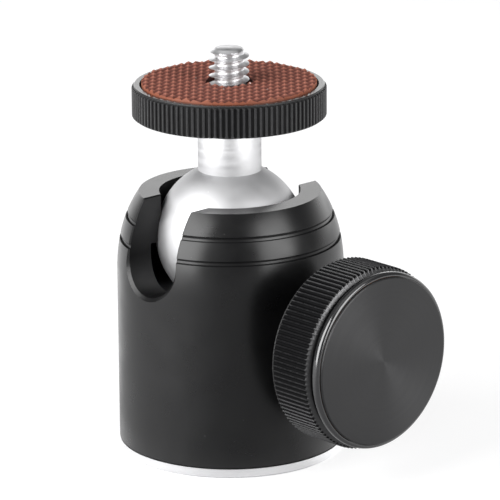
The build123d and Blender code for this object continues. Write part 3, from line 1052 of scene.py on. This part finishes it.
# camera platform
platformSet = {
    "low": 54.1 * mm,
    "top": 59.25 * mm,
    "radius": 15.3 * mm,
    "ribDepth": 0.3 * mm,
    "ribs": 106,
    "sidesPerRib": 8,
    "ribShape": (1.0, 0.92, 0.48, 0.08),    # height of a rib's columns, from its crest out
    "ribEnd": 0.16 * mm,    # slope at the ends of the ribs
    "valley": 0.10 * mm,    # faces this low between the ribs get a darker, duller finish as painted shade
    "band": 0.3 * mm,
    "edge": 0.15 * mm,
    "lowEdge": 0.12 * mm,
    "innerEdge": 0.08 * mm,
    "rimInner": 14.0 * mm,
    "recess": 0.75 * mm,
    "hole": 3.195 * mm,
}


def buildPlatform():
    s = platformSet
    root = s["radius"] - s["ribDepth"]
    bandLow = s["top"] - s["band"]
    ribLow = s["low"] + s["lowEdge"] + s["ribEnd"]
    ribHigh = bandLow - s["ribEnd"]
    corners = [
        (s["hole"], s["low"]),
        (root - s["lowEdge"], s["low"]),
        (root, s["low"] + s["lowEdge"]),
        (root, ribLow),
        (root, ribHigh),
        (root, bandLow),
        *roundedEdge(root, s["top"], s["edge"]),
        (s["rimInner"] + s["innerEdge"], s["top"]),
        (s["rimInner"], s["top"] - s["innerEdge"]),
        (s["rimInner"], s["top"] - s["recess"]),
        (s["hole"], s["top"] - s["recess"]),
        (s["hole"], s["low"]),
    ]
    piece = turnProfile("platformDisc", corners, s["ribs"] * s["sidesPerRib"])
    raiseRibs(piece, s, root, ribLow, ribHigh)
    settle(piece, 24)
    paint(piece, "platform_black", "platform_rim", "platform_valley_shade")
    # the faces between the ribs get the darker finish as painted shade
    paintWhere(piece, 2, lambda middle, normal: s["low"] + s["ribEnd"] < middle.z < bandLow
               and root - 0.01 * mm < awayFromAxis(middle) < root + s["valley"])
    paintWhere(piece, 1, lambda middle, normal: middle.z > bandLow + 1e-6 and normal.z > 0.9
               and awayFromAxis(middle) > s["rimInner"])
    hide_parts("platform_disc")
    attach(piece, "platform")


buildPlatform()
print("stage: platform")


# rubber pad
padSet = {
    "radius": 13.75 * mm,
    "hole": 3.7 * mm,
    "low": 58.65 * mm,
    "valley": 59.42 * mm,
    "tip": 59.95 * mm,
    "pitch": 1.53 * mm,
    "cells": 20,
    "turn": 2.2,            # degrees, of the pyramid rows
    "cutter": 6 * mm,
    "sides": 256,
}


def buildPad():
    s = padSet
    middle = (0, 0, s["valley"])
    clearSelection()
    bpy.ops.mesh.primitive_grid_add(x_subdivisions=s["cells"], y_subdivisions=s["cells"],
                                    size=s["pitch"] * s["cells"], location=middle)
    piece = named("rubberPad")
    bpy.ops.object.transform_apply()
    editAll()
    turnBack(s["turn"], "Z")
    bpy.ops.mesh.poke(offset=s["tip"] - s["valley"], center_mode="MEDIAN")
    selectAll()
    drawOut((0, 0, s["low"] - s["valley"]))
    bpy.ops.transform.resize(value=(1, 1, 0), center_override=(0, 0, s["low"]))
    facesOut()
    endEdit()
    combine(piece, addCylinder(s["sides"], s["radius"], s["cutter"], middle), "INTERSECT")
    combine(piece, addCylinder(s["sides"], s["hole"], s["cutter"], middle), "DIFFERENCE")
    settle(piece, 20)
    paint(piece, "pad_rubber")
    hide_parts("rubber_pad")
    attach(piece, "platform")


buildPad()
print("stage: pad")


# camera screw
screwSet = {
    "pitch": 1.27 * mm,
    # one pitch of the thread, as shares of the pitch and of its depth
    "outline": [(0.0, 0.0), (0.17, 0.012), (0.255, 0.08), (0.295, 0.19), (0.460, 0.94), (0.482, 1.0),
                (0.518, 1.0), (0.540, 0.94), (0.705, 0.19), (0.745, 0.08), (0.83, 0.012), (1.0, 0.0)],
    "low": 44.85 * mm,
    "threadLow": 56.0 * mm,
    "top": 64.95 * mm,
    "topRadius": 2.05 * mm,
    "chamferDrop": 0.85 * mm,
    "coneRound": 0.07 * mm, # height of the rounding at the top
    "coneInset": 0.12 * mm, # and its width
    "coneRings": 8,
    "crest": 3.17 * mm,
    "core": 2.26 * mm,
    "shank": 3.175 * mm,
    "inner": 2.6 * mm,
    "bevel": 0.3 * mm,
    "overlap": 0.2 * mm,    # the shank reaches into the thread's core
    "near": 0.0001 * mm,
    "sides": 96,
    "phase": 200.0,         # degrees, where the thread starts
}


def coneRadius(height):
    s = screwSet
    edge = s["topRadius"] + s["coneInset"]
    drop = s["top"] - height
    if drop < s["coneRound"]:
        return s["topRadius"] + (edge - s["topRadius"]) * max(drop, 0) / s["coneRound"]
    share = (drop - s["coneRound"]) / (s["chamferDrop"] - s["coneRound"])
    return edge + (s["shank"] - edge) * min(share, 1)


def threadCoil():
    # one outline of the thread from a single point, wound up the axis
    s = screwSet
    depth = s["crest"] - s["core"]
    clearSelection()
    bpy.ops.mesh.primitive_circle_add(vertices=3, radius=s["crest"])
    piece = named("cameraScrew")
    editAll()
    bpy.ops.mesh.merge(type="CENTER")
    bpy.ops.transform.translate(value=Vector((s["core"], 0, s["threadLow"] - 2 * s["pitch"])))
    for before, corner in zip(s["outline"], s["outline"][1:]):
        drawOut(((corner[1] - before[1]) * depth, 0, (corner[0] - before[0]) * s["pitch"]))
    endEdit()
    thread = piece.modifiers.new("thread", "SCREW")
    thread.angle = 2 * math.pi
    thread.screw_offset = s["pitch"]
    thread.iterations = math.ceil((s["top"] - s["threadLow"]) / s["pitch"]) + 4
    thread.steps = s["sides"]
    thread.render_steps = s["sides"]
    thread.use_merge_vertices = True
    thread.merge_threshold = weld
    bpy.ops.object.modifier_apply(modifier="thread")
    return piece


def cutLevel(height, **options):
    selectAll()
    bpy.ops.mesh.bisect(plane_co=(0, 0, height), plane_no=upAxis, threshold=screwSet["near"], **options)


def screwShank():
    s = screwSet
    top = s["threadLow"] + s["overlap"]
    neck = s["core"] - s["bevel"]
    corners = [(s["inner"], s["low"]), (s["shank"] - s["bevel"], s["low"]),
               (s["shank"], s["low"] + s["bevel"]), (s["shank"], s["threadLow"] - s["bevel"]),
               (neck, s["threadLow"]), (neck, top), (0, top)]
    shank = turnProfile("screwShank", corners, s["sides"])
    closeEnd(shank, s["inner"], s["low"])
    settle(shank)
    return shank


def buildScrew():
    s = screwSet
    piece = threadCoil()
    editAll()
    bpy.ops.mesh.remove_doubles(threshold=weld)
    selectAll()
    turnBack(s["phase"], "Z")
    cutLevel(s["threadLow"], use_fill=True, clear_inner=True)
    cutLevel(s["top"], use_fill=True, clear_outer=True)
    # rings for the coned end, drawn in to the cone below
    for index in range(s["coneRings"]):
        step = (s["chamferDrop"] - s["coneRound"]) * index / s["coneRings"]
        cutLevel(s["top"] - s["coneRound"] - step)
    facesOut()
    endEdit()
    for vertex in piece.data.vertices:
        share = min(1, coneRadius(vertex.co.z) / awayFromAxis(vertex.co))
        vertex.co.x *= share
        vertex.co.y *= share
    pick(piece, screwShank())
    bpy.ops.object.join()
    settle(piece, 34)
    paint(piece, "screw_steel")
    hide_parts("camera_screw")
    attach(piece, "platform")


buildScrew()
print("stage: camera screw")


# knob
knobSet = {
    "hub": 18.0 * mm,
    "hubRadius": 5.8 * mm,
    "hubEdge": 0.2 * mm,
    "back": 24.3 * mm,
    "lipRadius": 14.0 * mm,
    "lip": 0.4 * mm,
    "ribStart": 0.02 * mm,  # foot and head of the slope at the back of the ribs
    "ribRise": 0.18 * mm,
    "ribEnd": 32.3 * mm,
    "radius": 14.4 * mm,
    "ribDepth": 0.38 * mm,
    "ribs": 110,
    "sidesPerRib": 8,
    "ribShape": (1.0, 0.56, 0.17, 0.02),
    # faces this low between the ribs get a darker finish as painted shade
    "valley": 0.16 * mm,
    "frontEdge": 0.5 * mm,
    "frontInner": 13.4 * mm,    # the cone at the front comes in to here
    "neckRadius": 13.1 * mm,
    "neck": 0.66 * mm,
    "beadRadius": 13.88 * mm,
    "bead": 1.2 * mm,
    "beadRound": 0.5 * mm,
    "beadBackRound": 0.35 * mm,
    "rim": 0.58 * mm,       # wall of the bead round the cap
    "recess": 0.51 * mm,
    "pocketRadius": 7.2 * mm,
    "pocketDepth": 4.15 * mm,
    "hole": 3.02 * mm,
}


def buildKnob():
    s = knobSet
    root = s["radius"] - s["ribDepth"]
    beadLow = s["ribEnd"] + s["neck"]
    front = beadLow + s["bead"]
    floor = front - s["recess"]
    ribLow = s["back"] + s["lip"]
    crestEnd = s["ribEnd"] - s["frontEdge"]
    rootEnd = crestEnd + s["frontEdge"] * s["ribDepth"] / (s["radius"] - s["frontInner"])
    backRound, frontRound = s["beadBackRound"], s["beadRound"]
    corners = [
        (s["hole"], s["hub"]),
        (s["hubRadius"] - s["hubEdge"], s["hub"]),
        (s["hubRadius"], s["hub"] + s["hubEdge"]),
        (s["hubRadius"], s["back"]),
        (s["lipRadius"] - s["lip"] / 2, s["back"]),
        (s["lipRadius"], s["back"] + s["lip"] / 2),
        (s["lipRadius"], ribLow),
        (root, ribLow + s["ribStart"]),
        (root, ribLow + s["ribRise"]),
        (root, crestEnd),
        (root, rootEnd),
        (s["frontInner"], s["ribEnd"]),
        (s["neckRadius"], s["ribEnd"]),
        (s["neckRadius"], beadLow),
        *arcCorners((s["beadRadius"] - backRound, beadLow + backRound), backRound, -90, 0, 6),
        *arcCorners((s["beadRadius"] - frontRound, front - frontRound), frontRound, 0, 90, 8),
        (s["beadRadius"] - s["rim"], front),
        (s["beadRadius"] - s["rim"], floor),
        (s["pocketRadius"], floor),
        (s["pocketRadius"], floor - s["pocketDepth"]),
        (s["hole"], floor - s["pocketDepth"]),
        (s["hole"], s["hub"]),
    ]
    piece = turnProfile("knobBody", corners, s["ribs"] * s["sidesPerRib"])
    raiseRibs(piece, s, root, ribLow + s["ribRise"], crestEnd)
    layAlongX(piece)
    settle(piece, 26)
    paint(piece, "knob_black", "knob_bead", "knob_worn", "knob_valley_shade")
    # the faces between the ribs get the darker finish as painted shade
    paintWhere(piece, 3, lambda middle, normal: ribLow < middle.x < crestEnd
               and root - 0.01 * mm < math.hypot(middle.y, middle.z - knobHeight) < root + s["valley"])
    paintWhere(piece, 1, lambda middle, normal: middle.x > beadLow - 0.01 * mm)
    paintWhere(piece, 2, lambda middle, normal: crestEnd < middle.x < s["ribEnd"] and normal.x > 0.3)
    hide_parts("knob_body")
    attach(piece, "knob")


capSet = {
    "low": 33.85 * mm,
    "stain": 34.1 * mm,     # adhesive shows on the cap's side up to here
    "high": 34.5 * mm,
    "radius": 13.2 * mm,
    "middle": 3 * mm,
    "edge": 0.18 * mm,
    "backEdge": 0.05 * mm,
    "sides": 256,
}


def buildCap():
    s = capSet
    corners = [
        (s["middle"], s["low"]),
        (s["radius"] - s["backEdge"], s["low"]),
        (s["radius"], s["low"] + s["backEdge"]),
        (s["radius"], s["stain"]),
        *roundedEdge(s["radius"], s["high"], s["edge"]),
        (s["middle"], s["high"]),
    ]
    piece = turnProfile("knobCap", corners, s["sides"])
    closeEnd(piece, s["middle"], s["low"])
    closeEnd(piece, s["middle"], s["high"])
    layAlongX(piece)
    settle(piece, 20)
    paint(piece, "cap_grey", "film_clear")
    paintWhere(piece, 1, lambda centre, normal: abs(normal.x) < 0.1 and centre.x < s["stain"])
    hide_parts("knob_cap")
    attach(piece, "knob")


buildKnob()
buildCap()
print("stage: knob")


# inner and lower pieces keep their CAD shape
carried = {
    "base_screws": "dark_steel",
    "reducer_bush": "screw_steel",
    "ball_seat": "seat_polymer",
    "spring_washer": "spring_steel",
    "seat_spring": "spring_steel",
    "pad_film": "film_clear",
    "clamp_tip": "tip_brass",
    "clamp_screw": "clamp_steel",
    "stop_clip": "spring_steel",
    "knob_washer": "washer_nylon",
    "knob_nut": "clamp_steel",
    "cap_film": "film_clear",
}
for nodeName, finishName in carried.items():
    paint(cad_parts[nodeName], finishName)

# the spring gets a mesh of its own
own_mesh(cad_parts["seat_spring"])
print("stage: inner pieces")

clearSelection()
